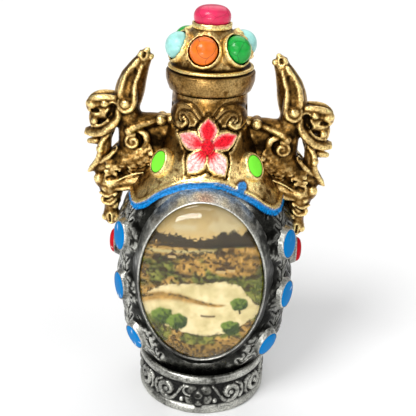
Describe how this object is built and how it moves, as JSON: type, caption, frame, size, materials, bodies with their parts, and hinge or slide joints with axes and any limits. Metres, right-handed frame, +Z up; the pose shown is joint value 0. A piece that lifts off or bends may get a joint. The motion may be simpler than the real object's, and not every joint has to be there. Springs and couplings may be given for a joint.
{
  "type": "snuff bottle",
  "caption": "Cast-metal snuff bottle with a hollow egg-shaped body on a ring foot, oval glass-domed picture on each face, trunked beast handles and a stone-set lift-off stopper.",
  "frame": {"origin": "centre of the foot ring on the surface the bottle stands on", "axes": "+Z up through the neck, -Y out of the front picture, +X towards the right beast handle as seen from the front"},
  "size_m": [0.056, 0.0346, 0.095],
  "materials": {
    "antique_silver": "antique silver over cast zinc alloy, dark in the recesses",
    "antique_gold": "antique gold over cast zinc alloy, dark in the recesses",
    "picture_paper": "printed landscape",
    "clear_glass": "polished clear dome",
    "orange_stone": "polished cabochon with fine dark veins",
    "green_stone": "polished cabochon with fine dark veins",
    "cyan_stone": "polished pale cabochon",
    "pink_stone": "polished bun-shaped stone"
  },
  "bodies": {
    "root": {"bottle_body": "antique_silver", "left_beast_handle": "antique_gold", "right_beast_handle": "antique_gold", "front_picture": "picture_paper", "front_glass_dome": "clear_glass", "back_picture": "picture_paper", "back_glass_dome": "clear_glass", "stopper": "antique_gold", "stopper_stone_1_orange": "orange_stone", "stopper_stone_2_green": "green_stone", "stopper_stone_3_cyan": "cyan_stone", "stopper_stone_4_orange": "orange_stone", "stopper_stone_5_green": "green_stone", "stopper_stone_6_cyan": "cyan_stone", "top_stone_pink": "pink_stone"}
  },
  "joints": []
}
